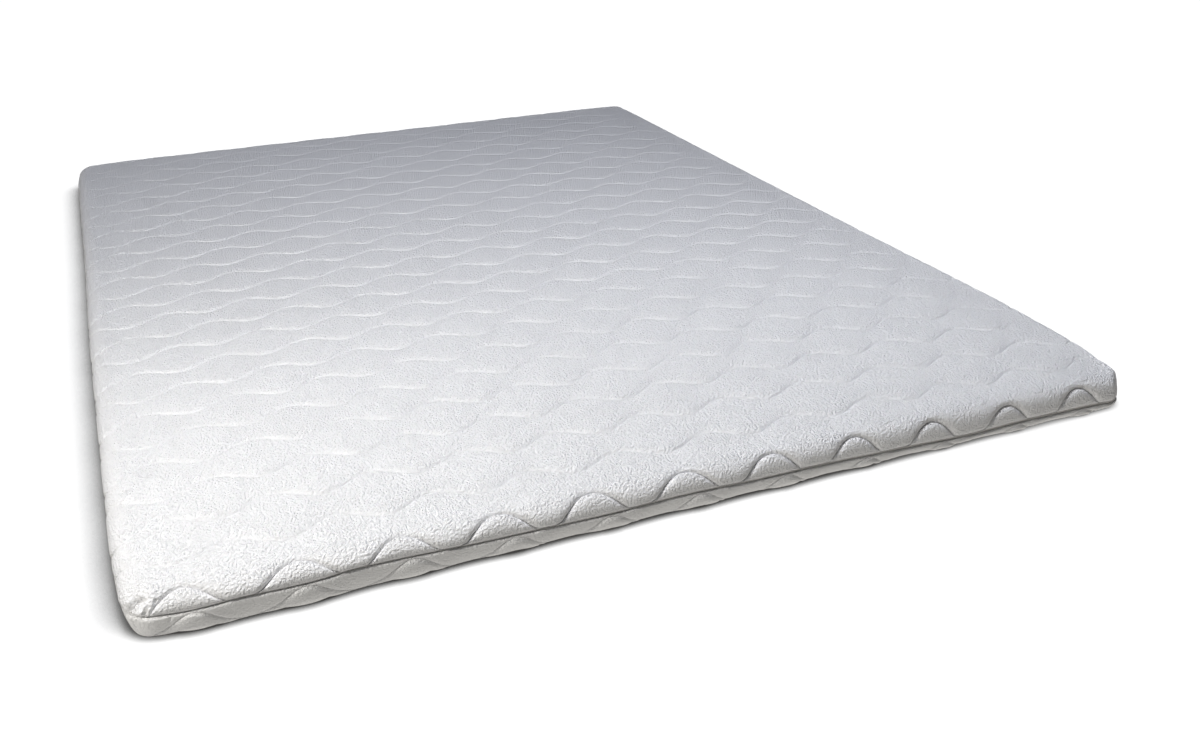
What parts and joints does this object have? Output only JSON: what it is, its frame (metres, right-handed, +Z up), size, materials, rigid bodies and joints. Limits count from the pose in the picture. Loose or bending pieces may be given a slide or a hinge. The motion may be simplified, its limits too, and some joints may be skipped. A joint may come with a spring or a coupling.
{
  "type": "mattress topper",
  "caption": "Wave-quilted mattress topper with a filled upper panel, a plain lower panel and a taped seam round its side walls, lying flat.",
  "frame": {"origin": "on the floor, under the middle of the topper", "axes": "+Z up, +X across the topper from its left to its right side, +Y along it from the near end to the far end"},
  "size_m": [1.5028, 2.0098, 0.0612],
  "materials": {
    "quilted_knit": "white double jersey with a fine pebbled face, quilted over a thin wadding",
    "border_knit": "off-white double jersey, matt",
    "tape_knit": "narrow off-white woven tape, matt, in the shade of the seam"
  },
  "bodies": {
    "root": {"upper_panel": "quilted_knit", "lower_panel": "border_knit", "seam_tape": "tape_knit"}
  },
  "joints": []
}
